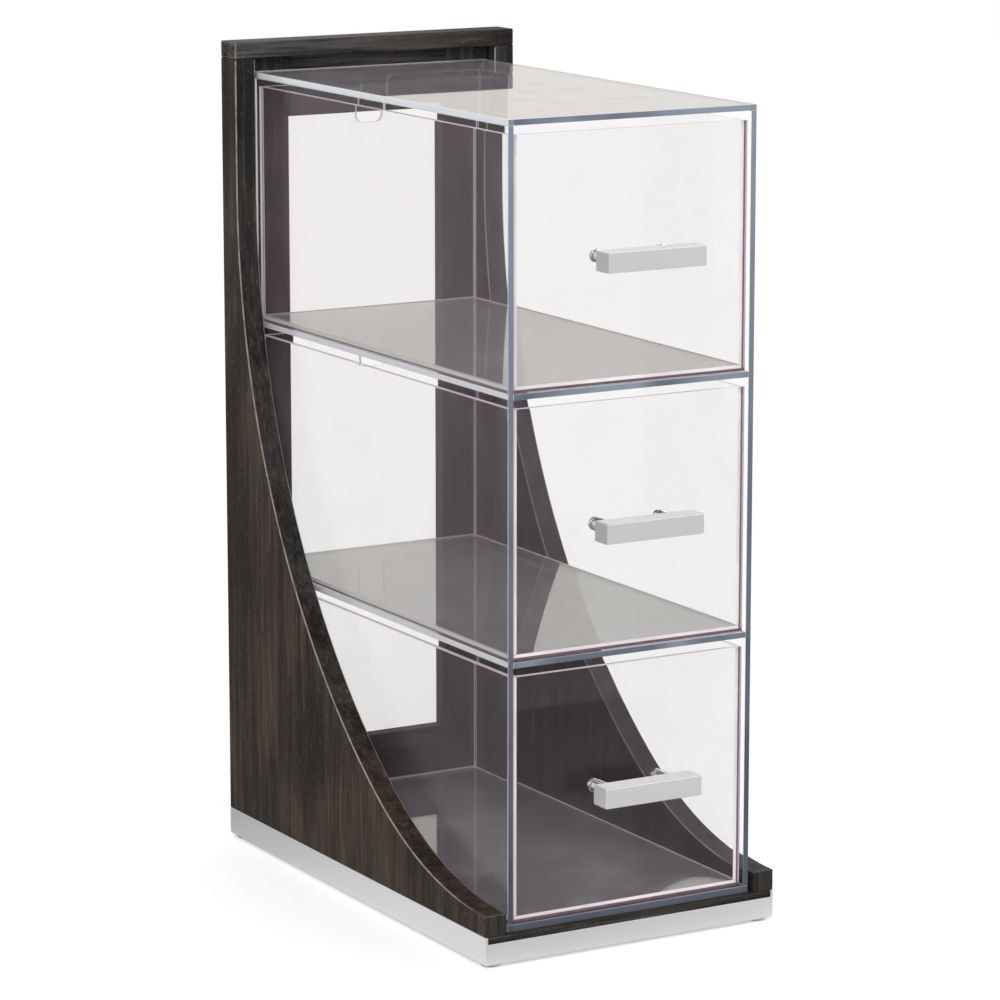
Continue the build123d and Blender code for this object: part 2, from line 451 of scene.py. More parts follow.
def cap_wear(wood, place):
    """Only down the upright corners of the cap."""
    above = wood.facing(WORLD_Z)
    corner = wood.between(abs(place), cap_half - 1.0 * MM, cap_half - 0.8 * MM)
    return corner * wood.between(above * above, 0.2, 0.1) * CAP_WEAR


upright_wood = stained_wood("upright_wood", UPRIGHT)
upright_arris = stained_wood("upright_arris", UPRIGHT, worn=panel_wear)
level_wood = stained_wood("level_wood", LEVEL, LEVEL_SHINE, CAP_GREY)
cap_arris = stained_wood("cap_arris", LEVEL, LEVEL_SHINE, CAP_GREY, cap_wear)
deck_wood = stained_wood("deck_wood", LEVEL, LEVEL_SHINE, DECK_GREY)

# %% [markdown]
# ## Clear sheet
#
# The case and the drawers are cut from clear acrylic sheet. Light goes through a face and bends, so
# what stands behind is shifted a little, and a thin haze of dust and wiping lifts what is dark. The
# level sheets are seen at a low angle, where they mirror the sky fully. The upright ones keep only
# part of their shine, as if dark cloth hung round them.
#
# Light that enters at a cut edge runs along inside the sheet and comes out blue-grey, so an edge
# looks like a thin solid line. Following such light takes many bounces and leaves an edge black, so
# the faces are real refracting glass and that light is painted on the cut edges instead: a colour for
# each way an edge looks, paler on the left of the case than on its right, the case's front edges
# dark low down and paler towards the top, and a painted glow on the ends of its back sheet in the
# panels' shade and, a little, on all the drawers' edges. Lamps shine straight through, so the shadow
# is as pale as it really is.

# %% The faces of a sheet
ACRYLIC_IOR = 1.49
LAMP_LIGHT = (0.96, 0.965, 0.965)


def clear_sheet(name, tint, glare, mirror_tint, dust, dust_tint):
    """Refraction with a thin mirror over it, and a plain see-through face for the lamps.

    `glare` is how much of the mirror is kept, and `dust` how much haze lies over it all.
    """
    sheet = Finish(name)
    wiped = sheet.between(sheet.noise(sheet.place, 30 * MM, 4.0, 0.6), 0.45, 0.75)
    bent = sheet.node("ShaderNodeBsdfRefraction", None, Color=tint, Roughness=0.0, IOR=ACRYLIC_IOR)
    mirror = sheet.node("ShaderNodeBsdfAnisotropic", None, Color=mirror_tint, Roughness=0.0)
    share = sheet.node("ShaderNodeFresnel", None, IOR=ACRYLIC_IOR) * glare
    glass = sheet.node("ShaderNodeMixShader", None, share, bent, mirror)
    haze = sheet.node("ShaderNodeBsdfDiffuse", None, Color=dust_tint)
    glass = sheet.node("ShaderNodeMixShader", None, dust + wiped * (dust * 0.6), glass, haze)
    lit = sheet.node("ShaderNodeBsdfTransparent", None, Color=LAMP_LIGHT)
    shadow = sheet.node("ShaderNodeLightPath").out("Is Shadow Ray")
    return sheet.done(sheet.node("ShaderNodeMixShader", None, shadow, glass, lit))


# %% The upright and the level sheets
upright_clear = clear_sheet(
    "upright_clear",
    tint=(0.991, 0.989, 0.988),
    glare=0.20,
    mirror_tint=(1.0, 0.92, 0.98),
    dust=0.013,
    dust_tint=(0.88, 0.69, 0.77),
)
level_clear = clear_sheet(
    "level_clear",
    tint=(0.850, 0.890, 0.890),
    glare=1.0,
    mirror_tint=(0.92, 0.87, 0.81),
    dust=0.095,
    dust_tint=(0.80, 0.73, 0.80),
)

# %% Where a cut edge changes
# painted light: a plum and a pink colour fringe that light makes in the drawers' sheets
PLUM_FRINGE = (0.155, 0.085, 0.115)
PINK_FRINGE = (0.86, 0.76, 0.82)
UNLIT = (0.0, 0.0, 0.0)
case_tall = spans("case_side_left")[2][1]
(_, case_half), (case_front, case_back), (case_bottom, first_tier) = spans("case_floor")
END_FROM = (3.6 * MM, 3.2 * MM)  # an upright end is as wide as its sheet, 3.3 mm


def drifting(edge, place):
    """From 0 to 1 in slow, uneven steps along an edge."""
    return edge.between(edge.noise(edge.place, 70 * MM, 2.0), 0.40, 0.60)


def paler_upwards(edge, place):
    """The case's front: painted shade low down, painted light towards the top, and drifting along the
    level edges.
    """
    upright = edge.between(abs(place), *[case_half - inward for inward in END_FROM])
    height, drift = place.out("Z"), drifting(edge, place)
    rising = edge.between(height, 60 * MM, case_tall) * 0.5 + drift * 0.08
    level = 0.06 + drift * 0.06 + edge.between(height, 30 * MM, 60 * MM) * (0.12 + drift * 0.40)
    return level + (rising - level) * upright


def back_ends(edge, place):
    """The upright ends of the case's back sheet, which stand in the panels' shade but get a painted
    glow.
    """
    return edge.between(place.out("Y"), *[case_back - inward for inward in END_FROM])


# %% The finish of a cut edge
def polished_edge(name, front, left, right, top, change, glow, lit=None, fringe=None):
    """A cut edge, with painted light and shade: a colour for each way it looks.

    `front` is a dark and a pale colour, and `change` says where it goes from one to the other. The
    edge glows with painted light where `lit` says, or all over.
    """
    edge = Finish(name)
    place = edge.split()
    along, above = edge.facing(WORLD_Y), edge.facing(WORLD_Z)
    faces_front = edge.between(along * along, *MOSTLY)
    behind = edge.between(place.out("Y"), 0.0, 0.1)
    colour = edge.blend(edge.between(place, 50 * MM, 60 * MM), left, right)
    colour = edge.blend(faces_front * (1 - behind), colour, edge.blend(change(edge, place), *front))
    colour = edge.blend(edge.between(above * above, *MOSTLY), colour, top)
    if fringe:
        colour = fringe(edge, place, faces_front, colour)
    saw = edge.noise(edge.drawn_out(2, 5), 1.5 * MM, 2.0)
    return edge.solid(
        Base_Color=colour,
        Roughness=0.10 + saw * 0.12,
        Coat_Weight=0.4,
        Coat_Roughness=0.03,
        Emission_Color=edge.blend(lit(edge, place), UNLIT, colour) if lit else colour,
        Emission_Strength=glow,
        Normal=edge.bump(saw, 0.02 * MM, 0.4),
    )


# %% The painted colour fringes of a drawer
FRINGE_WIDTH = 1.25 * MM
FRINGE_FROM = (FRINGE_WIDTH, 0.8 * FRINGE_WIDTH)
drawer_half_width = spans("drawer_lower_front")[0][1]
lowest_drawer, next_drawer = (spans(f"drawer_{tier}_front")[2][0] for tier in TIERS[:2])


def drawer_fringes(edge, place, faces_front, colour):
    """Painted colour fringes: dark plum along each drawer's bottom and both sides of its front, pink on
    upright ends.
    """
    pitch = next_drawer - lowest_drawer
    raised = place.out("Z") - lowest_drawer
    above = edge.node("ShaderNodeMath", {"operation": "FLOORED_MODULO"}, raised, pitch)
    low = edge.between(above, *FRINGE_FROM)
    outer = edge.between(abs(place), *[drawer_half_width - inward for inward in FRINGE_FROM])
    upright = edge.between(above, 3.0 * MM, 3.2 * MM) * (1 - faces_front)
    colour = edge.blend(upright * 0.7, colour, PINK_FRINGE)
    return edge.blend(low.at_least(outer * faces_front), colour, PLUM_FRINGE)


# %% The case's edges and the drawers'
# painted light and shade: paler left edges, darker right ones, a front that pales upwards, and a glow at
# the back sheet's ends
case_edge = polished_edge(
    "case_edge",
    front=((0.050, 0.060, 0.095), (0.400, 0.465, 0.570)),
    left=(0.82, 0.84, 0.90),
    right=(0.40, 0.43, 0.50),
    top=(0.74, 0.76, 0.76),
    change=paler_upwards,
    glow=0.45,
    lit=back_ends,
)
# painted light: a colour for each way a drawer edge looks, and a faint painted glow all over
drawer_edge = polished_edge(
    "drawer_edge",
    front=((0.74, 0.72, 0.74), (0.88, 0.86, 0.87)),
    left=(0.46, 0.46, 0.43),
    right=(0.60, 0.60, 0.60),
    top=(0.36, 0.31, 0.32),
    change=drifting,
    glow=0.25,
    fringe=drawer_fringes,
)

# %% [markdown]
# ## Metal
#
# The tray is folded from sheet with a fine satin face. The bar handles are square bars, brushed
# along their front and left bright on the other faces. Both are bare metal, so nearly all of their
# look is the room that they mirror, blurred along the brushing.

# %% The metals
SCRATCH_LENGTH = 60  # times its width
SCRATCH_TONE = 0.93


def satin_metal(name, tone, roughness, brushed_axis, bright_sides=0.0):
    """Metal brushed along an axis (0 is X, 1 is Y). `bright_sides` smooths all but the front."""
    metal = Finish(name)
    brushing = metal.noise(metal.drawn_out(brushed_axis, SCRATCH_LENGTH), 0.5 * MM, 3.0, 0.7)
    cloud = metal.noise(metal.place, 25 * MM, 2.0)
    dark = tuple(value * SCRATCH_TONE for value in tone)
    level = roughness + brushing * 0.08 + cloud * 0.03
    if bright_sides:
        front = metal.between(-metal.facing(WORLD_Y), 0.5, 0.9)
        level = level * (1 - (1 - front) * bright_sides)
    return metal.solid(
        Base_Color=metal.blend(brushing, dark, tone),
        Metallic=1.0,
        Roughness=level,
        Normal=metal.bump(brushing, 0.01 * MM, 0.3),
    )


tray_metal = satin_metal("tray_metal", (0.80, 0.80, 0.81), 0.30, 0)
handle_metal = satin_metal("handle_metal", (0.78, 0.78, 0.79), 0.30, 0, bright_sides=0.75)
screw_metal = satin_metal("screw_metal", (0.66, 0.66, 0.68), 0.18, 1)


# %% The clear bumpers under the tray
def soft_bumper():
    """Yellowed clear rubber, which lets some light through."""
    rubber = Finish("soft_bumper")
    haze = rubber.noise(rubber.place, 4 * MM, 3.0)
    return rubber.solid(
        Base_Color=rubber.blend(haze, (0.62, 0.57, 0.52), (0.78, 0.74, 0.70)),
        Roughness=0.25 + haze * 0.15,
        Transmission_Weight=0.35,
        IOR=1.45,
        Normal=rubber.bump(haze, 0.05 * MM, 0.3),
    )


bumper_rubber = soft_bumper()

# %% [markdown]
# ## Boards
#
# Every board is one outline cut from a plank: a rectangle, or for the side panels a rectangle whose
# front edge is swept away. So one function takes an outline in the YZ plane and makes it as thick
# as the board. A Bevel modifier then rounds the long edges, and gives the rounding the worn finish.

# %% Helpers for plain pieces
SHARP = radians(35)


def link(mesh):
    """Puts a mesh or a curve in the scene as a piece of its own."""
    piece = bpy.data.objects.new(mesh.name, mesh)
    bpy.context.scene.collection.objects.link(piece)
    return piece


def rounded(piece, width, segments=2, material=None):
    """Rounds the sharp edges of a piece, and gives the rounding one of its materials."""
    bevel = piece.modifiers.new("rounded", "BEVEL")
    bevel.width = width
    bevel.segments = segments
    bevel.limit_method = "ANGLE"
    bevel.angle_limit = SHARP
    bevel.harden_normals = True
    if material is not None:
        bevel.material = piece.data.materials.find(material.name)
    for face in piece.data.polygons:
        face.use_smooth = True
    return piece


# %% A board
def board(name, outline, span, finishes, arris):
    """A board from its outline of (y, z) points, between two places in X."""
    made = bmesh.new()
    left, right = ([made.verts.new((x, y, z)) for y, z in outline] for x in span)
    made.faces.new(left)
    made.faces.new(reversed(right))
    for index in range(len(outline)):
        after = (index + 1) % len(outline)
        made.faces.new((left[after], left[index], right[index], right[after]))
    bmesh.ops.recalc_face_normals(made, faces=made.faces)
    mesh = bpy.data.meshes.new(name)
    made.to_mesh(mesh)
    made.free()
    for finish in finishes:
        mesh.materials.append(finish)
    piece = rounded(link(mesh), arris, segments=3, material=finishes[-1])
    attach(piece, "frame")
    print(f"board: {name}, {len(outline)} corners, {(span[1] - span[0]) / MM:.1f} mm across")
    return piece


# %% [markdown]
# ## Side panels
#
# The front edge of a side panel drops upright from the cap, leans forward in a wide arc, and runs
# out in a tighter arc to a low nose over the front of the tray. Two arcs that share a tangent where
# they meet give that line, and only their radii and the angle of that tangent are chosen.

# %% The outline of a side panel
SWEEP_LOW_RADIUS = 213 * MM
SWEEP_JOIN = radians(54)
NOSE_HEIGHT = 11.8 * MM
ARC_STEPS = 48

_, (front_y, back_y), (deck_top, cap_bottom) = spans("side_panel_left")
cap_front = spans("top_cap")[1][0]
nose_top = deck_top + NOSE_HEIGHT


def sweep_line():
    """The (y, z) points of a panel's front edge, from the nose up to the cap."""
    join_y = front_y + SWEEP_LOW_RADIUS * cos(SWEEP_JOIN)
    join_z = nose_top + SWEEP_LOW_RADIUS * (1 - sin(SWEEP_JOIN))
    high_radius = (cap_front - join_y) / (1 - cos(SWEEP_JOIN))
    upright_z = join_z + high_radius * sin(SWEEP_JOIN)
    line = []
    for step in range(ARC_STEPS):
        turned = (radians(90) - SWEEP_JOIN) * step / ARC_STEPS
        forward, up = SWEEP_LOW_RADIUS * sin(turned), SWEEP_LOW_RADIUS * (1 - cos(turned))
        line.append((front_y + forward, nose_top + up))
    for step in range(ARC_STEPS + 1):
        left = SWEEP_JOIN * (1 - step / ARC_STEPS)
        line.append((cap_front - high_radius * (1 - cos(left)), upright_z - high_radius * sin(left)))
    return line


panel_back = [(cap_front, cap_bottom), (back_y, cap_bottom), (back_y, deck_top)]
panel_outline = [(front_y, deck_top), *sweep_line(), *panel_back]
print("side panel outline:", len(panel_outline), "points")

# %% The two side panels
PANEL_ARRIS = 0.6 * MM

panel_finishes = [upright_wood, upright_arris]
for side in SIDES:
    node = f"side_panel_{side}"
    panel = board(f"swept_{node}", panel_outline, spans(node)[0], panel_finishes, PANEL_ARRIS)
    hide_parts(node)

# %% [markdown]
# ## Back, cap and deck
#
# The back is an open window between two stiles and two rails, the cap lies across the top, and the
# deck fills the tray. They are square-cut boards, so each takes its outline from its node's box. The
# deck's front edge comes forward over the tray's lip, which adds a step to its outline.

# %% The square boards
def square_board(node, finishes, arris):
    """A board that fills its node's box."""
    across, (near, far), (bottom, top) = spans(node)
    outline = [(near, bottom), (near, top), (far, top), (far, bottom)]
    piece = board(f"board_{node}", outline, across, finishes, arris)
    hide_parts(node)


BACK_ARRIS, CAP_ARRIS, DECK_ARRIS = 0.5 * MM, 0.8 * MM, 0.4 * MM
for side in SIDES:
    square_board(f"back_stile_{side}", [upright_wood], BACK_ARRIS)
for level in ("lower", "upper"):
    square_board(f"back_rail_{level}", [level_wood], BACK_ARRIS)
square_board("top_cap", [level_wood, cap_arris], CAP_ARRIS)

# %% The deck and its step
TRAY_SHEET = 1.5 * MM
LIP_HEIGHT = 11.8 * MM
lip_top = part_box("tray")[0].z + LIP_HEIGHT
_, (deck_near, deck_far), (deck_low, deck_high) = spans("deck")
deck_outline = [
    (deck_near, lip_top),
    (deck_near, deck_high),
    (deck_far, deck_high),
    (deck_far, deck_low),
    (deck_near + TRAY_SHEET, deck_low),
    (deck_near + TRAY_SHEET, lip_top),
]
deck = board("stepped_deck", deck_outline, spans("deck")[0], [deck_wood], DECK_ARRIS)
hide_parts("deck")

# %% [markdown]
# ## Shapes from Geometry Nodes
#
# The case and the drawers repeat one thing, a cut sheet, and the drawers repeat each other. A tree
# of Geometry Nodes holds the rule and takes the sizes as named inputs, so three drawers are one tree
# with three sets of numbers. The result is turned into a plain mesh, one for each body.

# %% Starting a tree
def shape_tree(name, inputs, has_base=False):
    """A Geometry Nodes tree and its named input wires. `has_base` adds a geometry input."""
    group = bpy.data.node_groups.new(name, "GeometryNodeTree")
    if has_base:
        group.interface.new_socket("Base", in_out="INPUT", socket_type="NodeSocketGeometry")
    for label in inputs:
        group.interface.new_socket(label, in_out="INPUT", socket_type="NodeSocketFloat")
    group.interface.new_socket("Shape", in_out="OUTPUT", socket_type="NodeSocketGeometry")
    shape = Tree(group)
    entry = shape.node("NodeGroupInput")
    return shape, entry.out, group


# %% Growing a piece from a tree
def drop_empty_slots(mesh):
    """A grown mesh starts with a slot that holds no material, which this takes out."""
    used = [material for material in mesh.materials if material]
    indices = [used.index(mesh.materials[face.material_index]) for face in mesh.polygons]
    mesh.materials.clear()
    for material in used:
        mesh.materials.append(material)
    mesh.polygons.foreach_set("material_index", indices)


def grow(name, group, sizes, base=None):
    """Runs a tree on a base with its sizes, and returns what it makes as a plain mesh object."""
    host = link(bpy.data.meshes.new(name + "_host")) if base is None else base
    modifier = host.modifiers.new("shape", "NODES")
    modifier.node_group = group
    for item in group.interface.items_tree:
        if item.in_out == "INPUT" and item.name in sizes:
            modifier[item.identifier] = sizes[item.name]
    host.update_tag()
    depsgraph = bpy.context.evaluated_depsgraph_get()
    mesh = bpy.data.meshes.new_from_object(host.evaluated_get(depsgraph), depsgraph=depsgraph)
    mesh.name = name
    drop_empty_slots(mesh)
    host.modifiers.remove(modifier)
    bpy.data.objects.remove(host)
    print("grown:", name, "with", len(mesh.polygons), "faces")
    return link(mesh)


# %% Moving and joining what a tree holds
def moved(shape, geometry, place, turn=(0.0, 0.0, 0.0)):
    """The same geometry, turned and then put at a place."""
    return shape.node("GeometryNodeTransform", None, Geometry=geometry, Translation=place, Rotation=turn)


def joined(shape, parts):
    """Several geometries as one."""
    return shape.node("GeometryNodeJoinGeometry", None, parts)


def handed_over(shape, geometry, material=None):
    """The end of a tree: real geometry, with a material for all of it or with those it has."""
    real = shape.node("GeometryNodeRealizeInstances", None, Geometry=geometry)
    if material:
        real = shape.node("GeometryNodeSetMaterial", None, Geometry=real, Material=material)
    shape.node("NodeGroupOutput", None, Shape=real)
    print("tree:", shape.node_tree.name, "with", len(shape.node_tree.nodes), "nodes")


# %% One cut sheet
JOINT_GAP = 0.05 * MM


def sheet(shape, x, y, z, thin, face, edge):
    """A sheet between three (low, high) pairs. The faces across its thin axis are clear."""
    sides = (x, y, z)
    size = shape.vector(*[high - low - 2 * JOINT_GAP for low, high in sides])
    centre = shape.vector(*[(high + low) * 0.5 for low, high in sides])
    block = shape.node("GeometryNodeMeshCube", None, Size=size)
    return finished(shape, moved(shape, block, centre), thin, face, edge)


def finished(shape, geometry, thin, face, edge):
    """Gives cut edges one material and the two wide faces another."""
    normal = shape.node("GeometryNodeInputNormal")
    cosine = shape.node("ShaderNodeVectorMath", {"operation": "DOT_PRODUCT"}, normal, thin)
    along = cosine.out("Value")
    wide = shape.node("FunctionNodeCompare", {"operation": "GREATER_THAN"}, along * along, 0.5)
    painted = shape.node("GeometryNodeSetMaterial", None, Geometry=geometry, Material=edge)
    return shape.node("GeometryNodeSetMaterial", None, Geometry=painted, Selection=wide, Material=face)


# %% [markdown]
# ## Case
#
# The case is seven sheets: a floor, a top, a back and two sides make a shell that is open at the
# front, and two shelves divide it. Sheets that are glued share a face, and two glass faces in the
# same place confuse a renderer, so every sheet is cut a twentieth of a millimetre short.

# %% The case's tree
CASE_INPUTS = ("Half width", "Front", "Back", "Bottom", "Sheet", "Floor sheet", "Opening", "Tiers")


def case_tree():
    """Five sheets round the outside, and a shelf under every tier but the first."""
    shape, size, group = shape_tree("clear_case", CASE_INPUTS)
    half, front, back, bottom = size("Half width"), size("Front"), size("Back"), size("Bottom")
    thick, floor_top = size("Sheet"), bottom + size("Floor sheet")
    pitch = size("Opening") + thick
    top = floor_top + size("Tiers") * pitch
    inner, inner_back = half - thick, back - thick
    level, upright = (WORLD_Z, level_clear, case_edge), (upright_clear, case_edge)
    wide, deep, tall = (-half, half), (front, inner_back), (floor_top, top - thick)
    sheets = [
        sheet(shape, wide, (front, back), (bottom, floor_top), *level),
        sheet(shape, wide, (front, back), (top - thick, top), *level),
        sheet(shape, wide, (inner_back, back), tall, WORLD_Y, *upright),
        sheet(shape, (-half, -inner), deep, tall, WORLD_X, *upright),
        sheet(shape, (inner, half), deep, tall, WORLD_X, *upright),
    ]
    shelf = sheet(shape, (-inner, inner), deep, (-thick, 0.0), *level)
    levels = shape.node(
        "GeometryNodeMeshLine",
        None,
        Count=size("Tiers") - 1,
        Start_Location=shape.vector(0.0, 0.0, floor_top + pitch),
        Offset=shape.vector(0.0, 0.0, pitch),
    )
    shelves = shape.node("GeometryNodeInstanceOnPoints", None, Points=levels, Instance=shelf)
    handed_over(shape, joined(shape, [*sheets, shelves]))
    return group


case_group = case_tree()

# %% The case
CASE_NODES = [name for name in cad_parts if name.startswith("case_")]
SHEET_ARRIS = 0.25 * MM
shelf_low, shelf_high = spans("case_shelf_middle")[2]
case_sizes = {
    "Half width": case_half,
    "Front": case_front,
    "Back": case_back,
    "Bottom": case_bottom,
    "Sheet": shelf_high - shelf_low,
    "Floor sheet": first_tier - case_bottom,
    "Opening": shelf_low - first_tier,
    "Tiers": float(len(TIERS)),
}
case = rounded(grow("clear_case", case_group, case_sizes), SHEET_ARRIS, material=case_edge)
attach(case, "frame")
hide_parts(*CASE_NODES)

# %% [markdown]
# ## Drawers
#
# A drawer is an open box of five sheets. Its back wall has a notch for a finger, with rounded
# corners, so that wall starts as a curve: eight corners, each with the radius that its rounding
# takes. Its front has two screw holes. The nodes fill such outlines and give them their thickness.
# The joints are glued, and along the bottom and the front corners a dark plum line is painted for
# the colour fringe that light makes there.

# %% From an outline to a plate
ARC_POINTS = 6
HOLE_SIDES = 24
STOOD_UP = (radians(90), 0, 0)


def plate(shape, outline, thickness):
    """Fills flat outlines and gives them a thickness upwards, as one closed solid."""
    flat = shape.node("GeometryNodeFillCurve", None, Curve=outline)
    extrude = {"mode": "FACES"}
    raised = shape.node(
        "GeometryNodeExtrudeMesh", extrude, Mesh=flat, Offset_Scale=thickness, Individual=False
    )
    under = shape.node("GeometryNodeFlipFaces", None, Mesh=flat)
    both = joined(shape, [raised, under])
    return shape.node("GeometryNodeMergeByDistance", None, Geometry=both, Distance=1e-6)


def stood_up(shape, geometry, x, y, z):
    """Stands a flat plate upright: its height goes up, and its thickness goes forward."""
    return moved(shape, geometry, shape.vector(x, y, z), STOOD_UP)


# %% The drawer's tree
DRAWER_INPUTS = (
    "Half width", "Front", "Back", "Bottom", "Height", "Sheet", "Hole place", "Hole level", "Hole radius"
)


def drawer_tree():
    """Five sheets. The front is drilled, and the back follows the outline that comes in as a base."""
    shape, size, group = shape_tree("clear_drawer", DRAWER_INPUTS, has_base=True)
    half, front, back, thick = size("Half width"), size("Front"), size("Back"), size("Sheet")
    bottom, tall = size("Bottom"), size("Height")
    top, floor_top = bottom + tall, bottom + thick
    inside_front, inside_back, inner = front + thick, back - thick, half - thick
    cut = thick - 2 * JOINT_GAP
    upright = (upright_clear, drawer_edge)
    wide, deep, walls = (-half, half), (inside_front, inside_back), (floor_top, top)

    radius = shape.node("GeometryNodeInputRadius")
    rounding = {"mode": "POLY"}
    outline = shape.node("GeometryNodeFilletCurve", rounding, size("Base"), ARC_POINTS, radius)
    back_wall = stood_up(shape, plate(shape, outline, cut), 0.0, back - JOINT_GAP, floor_top + JOINT_GAP)

    blank_size = (half * 2 - 2 * JOINT_GAP, tall - 2 * JOINT_GAP)
    blank = shape.node("GeometryNodeCurvePrimitiveQuadrilateral", None, *blank_size)
    circle = "GeometryNodeCurvePrimitiveCircle"
    hole = shape.node(circle, None, Resolution=HOLE_SIDES, Radius=size("Hole radius"))
    hole_level = size("Hole level") - bottom - tall * 0.5
    places = [shape.vector(size("Hole place") * sign, hole_level, 0.0) for sign in SIDES.values()]
    drilled = joined(shape, [blank, *[moved(shape, hole, place) for place in places]])
    front_plate = plate(shape, drilled, cut)
    front_wall = stood_up(shape, front_plate, 0.0, inside_front - JOINT_GAP, bottom + tall * 0.5)
    pieces = [
        finished(shape, front_wall, WORLD_Y, *upright),
        finished(shape, back_wall, WORLD_Y, *upright),
        sheet(shape, wide, (inside_front, back), (bottom, floor_top), WORLD_Z, level_clear, drawer_edge),
        sheet(shape, (-half, -inner), deep, walls, WORLD_X, *upright),
        sheet(shape, (inner, half), deep, walls, WORLD_X, *upright),
    ]
    handed_over(shape, joined(shape, pieces))
    return group


drawer_group = drawer_tree()

# %% The outline of a back wall
NOTCH_HALF = 8.5 * MM
NOTCH_DEPTH = 24 * MM
NOTCH_CORNER = 4 * MM


def notched_outline(half, height):
    """A closed curve whose points carry the radius of their corner."""
    low = height - NOTCH_DEPTH
    corners = [
        (-half, 0, 0),
        (half, 0, 0),
        (half, height, 0),
        (NOTCH_HALF, height, NOTCH_CORNER),
        (NOTCH_HALF, low, NOTCH_CORNER),
        (-NOTCH_HALF, low, NOTCH_CORNER),
        (-NOTCH_HALF, height, NOTCH_CORNER),
        (-half, height, 0),
    ]
    curve = bpy.data.curves.new("notched_outline", "CURVE")
    curve.dimensions = "3D"
    spline = curve.splines.new("POLY")
    spline.points.add(len(corners) - 1)
    for point, (x, y, radius) in zip(spline.points, corners):
        point.co = (x, y, 0, 1)
        point.radius = radius
    spline.use_cyclic_u = True
    return link(curve)


# %% The three drawers
HOLE_RADIUS = 2.2 * MM
DRAWER_PARTS = ("front", "back", "floor", "side_left", "side_right")


def drawer_box(tier):
    """One drawer's five sheets, at its tier and on its own body."""
    node = f"drawer_{tier}"
    (_, half), (front, inside_front), (bottom, top) = spans(f"{node}_front")
    back = spans(f"{node}_back")[1][1]
    thick = inside_front - front
    (tube_left, tube_right), _, (tube_low, tube_high) = spans(f"{node}_spacer_right")
    sizes = {
        "Half width": half,
        "Front": front,
        "Back": back,
        "Bottom": bottom,
        "Height": top - bottom,
        "Sheet": thick,
        "Hole place": (tube_left + tube_right) / 2,
        "Hole level": (tube_low + tube_high) / 2,
        "Hole radius": HOLE_RADIUS,
    }
    outline = notched_outline(half - JOINT_GAP, top - bottom - thick - 2 * JOINT_GAP)
    box = rounded(grow(f"{node}_box", drawer_group, sizes, outline), SHEET_ARRIS, material=drawer_edge)
    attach(box, f"{tier}_drawer")
    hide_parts(*[f"{node}_{part}" for part in DRAWER_PARTS])


for tier in TIERS:
    drawer_box(tier)

# %% [markdown]
# ## Handles
#
# Each handle is a square bar held off the drawer by two short tubes, and a screw goes through each
# tube from inside the drawer. The tubes and the screws are the same thing at two places, so they
# are instances on two points. The screw's socket is cut by a six-sided cutter.

# %% Rods, and pairs of a piece
ROUND_SIDES = 32


def rod(shape, radius, length, vertices=ROUND_SIDES):
    """A round bar along Z, centred on the origin."""
    ends = {"fill_type": "NGON"}
    return shape.node("GeometryNodeMeshCylinder", ends, Vertices=vertices, Radius=radius, Depth=length)


def at_both(shape, geometry, x, y, z):
    """The same piece turned to lie along Y, at two places either side of the middle."""
    first, step = shape.vector(-x, y, z), shape.vector(x * 2, 0.0, 0.0)
    two = shape.node("GeometryNodeMeshLine", None, Count=2, Start_Location=first, Offset=step)
    onto = "GeometryNodeInstanceOnPoints"
    return shape.node(onto, None, Points=two, Instance=geometry, Rotation=STOOD_UP)


# %% The handle's tree
HANDLE_INPUTS = (
    "Length", "Height", "Thickness", "Drawer front", "Middle", "Tube length", "Tube radius", "Tube place"
)


def handle_tree():
    """A square bar in front of two tubes."""
    shape, size, group = shape_tree("bar_handle", HANDLE_INPUTS)
    front = size("Drawer front")
    tube_end = front - size("Tube length")
    block = shape.vector(size("Length"), size("Thickness"), size("Height"))
    middle = shape.vector(0.0, tube_end - size("Thickness") * 0.5, size("Middle"))
    bar = moved(shape, shape.node("GeometryNodeMeshCube", None, Size=block), middle)
    tube = rod(shape, size("Tube radius"), size("Tube length") - 2 * JOINT_GAP)
    tubes = at_both(shape, tube, size("Tube place"), (front + tube_end) * 0.5, size("Middle"))
    handed_over(shape, joined(shape, [bar, tubes]), handle_metal)
    return group


handle_group = handle_tree()

# %% The screws' tree
SCREW_INPUTS = (
    "Inside front", "Middle", "Place", "Shank radius", "Shank length", "Head radius", "Head height"
)
SOCKET_SIDES = 6
SOCKET_RADIUS = 1.4 * MM
SOCKET_DEPTH = 1.3 * MM


def screw_tree():
    """Two screws, each a head with a socket and a shank that ends inside the handle's bar."""
    shape, size, group = shape_tree("socket_screws", SCREW_INPUTS)
    head = rod(shape, size("Head radius"), size("Head height"))
    cutter = rod(shape, SOCKET_RADIUS, 2 * SOCKET_DEPTH, SOCKET_SIDES)
    half_head = size("Head height") * 0.5
    cutter = moved(shape, cutter, shape.vector(0.0, 0.0, -half_head))
    cut = shape.node("GeometryNodeMeshBoolean", {"operation": "DIFFERENCE"}, head, [cutter])
    shank = rod(shape, size("Shank radius"), size("Shank length"))
    behind = shape.vector(0.0, 0.0, half_head + size("Shank length") * 0.5)
    screw = joined(shape, [cut, moved(shape, shank, behind)])
    both = at_both(shape, screw, size("Place"), size("Inside front") + half_head, size("Middle"))
    handed_over(shape, both, screw_metal)
    return group


screw_group = screw_tree()

# %% The three handles and their screws
SHANK_RADIUS = 2 * MM
SHANK_BITE = 1 * MM
HANDLE_ARRIS, SCREW_ARRIS = 0.45 * MM, 0.3 * MM


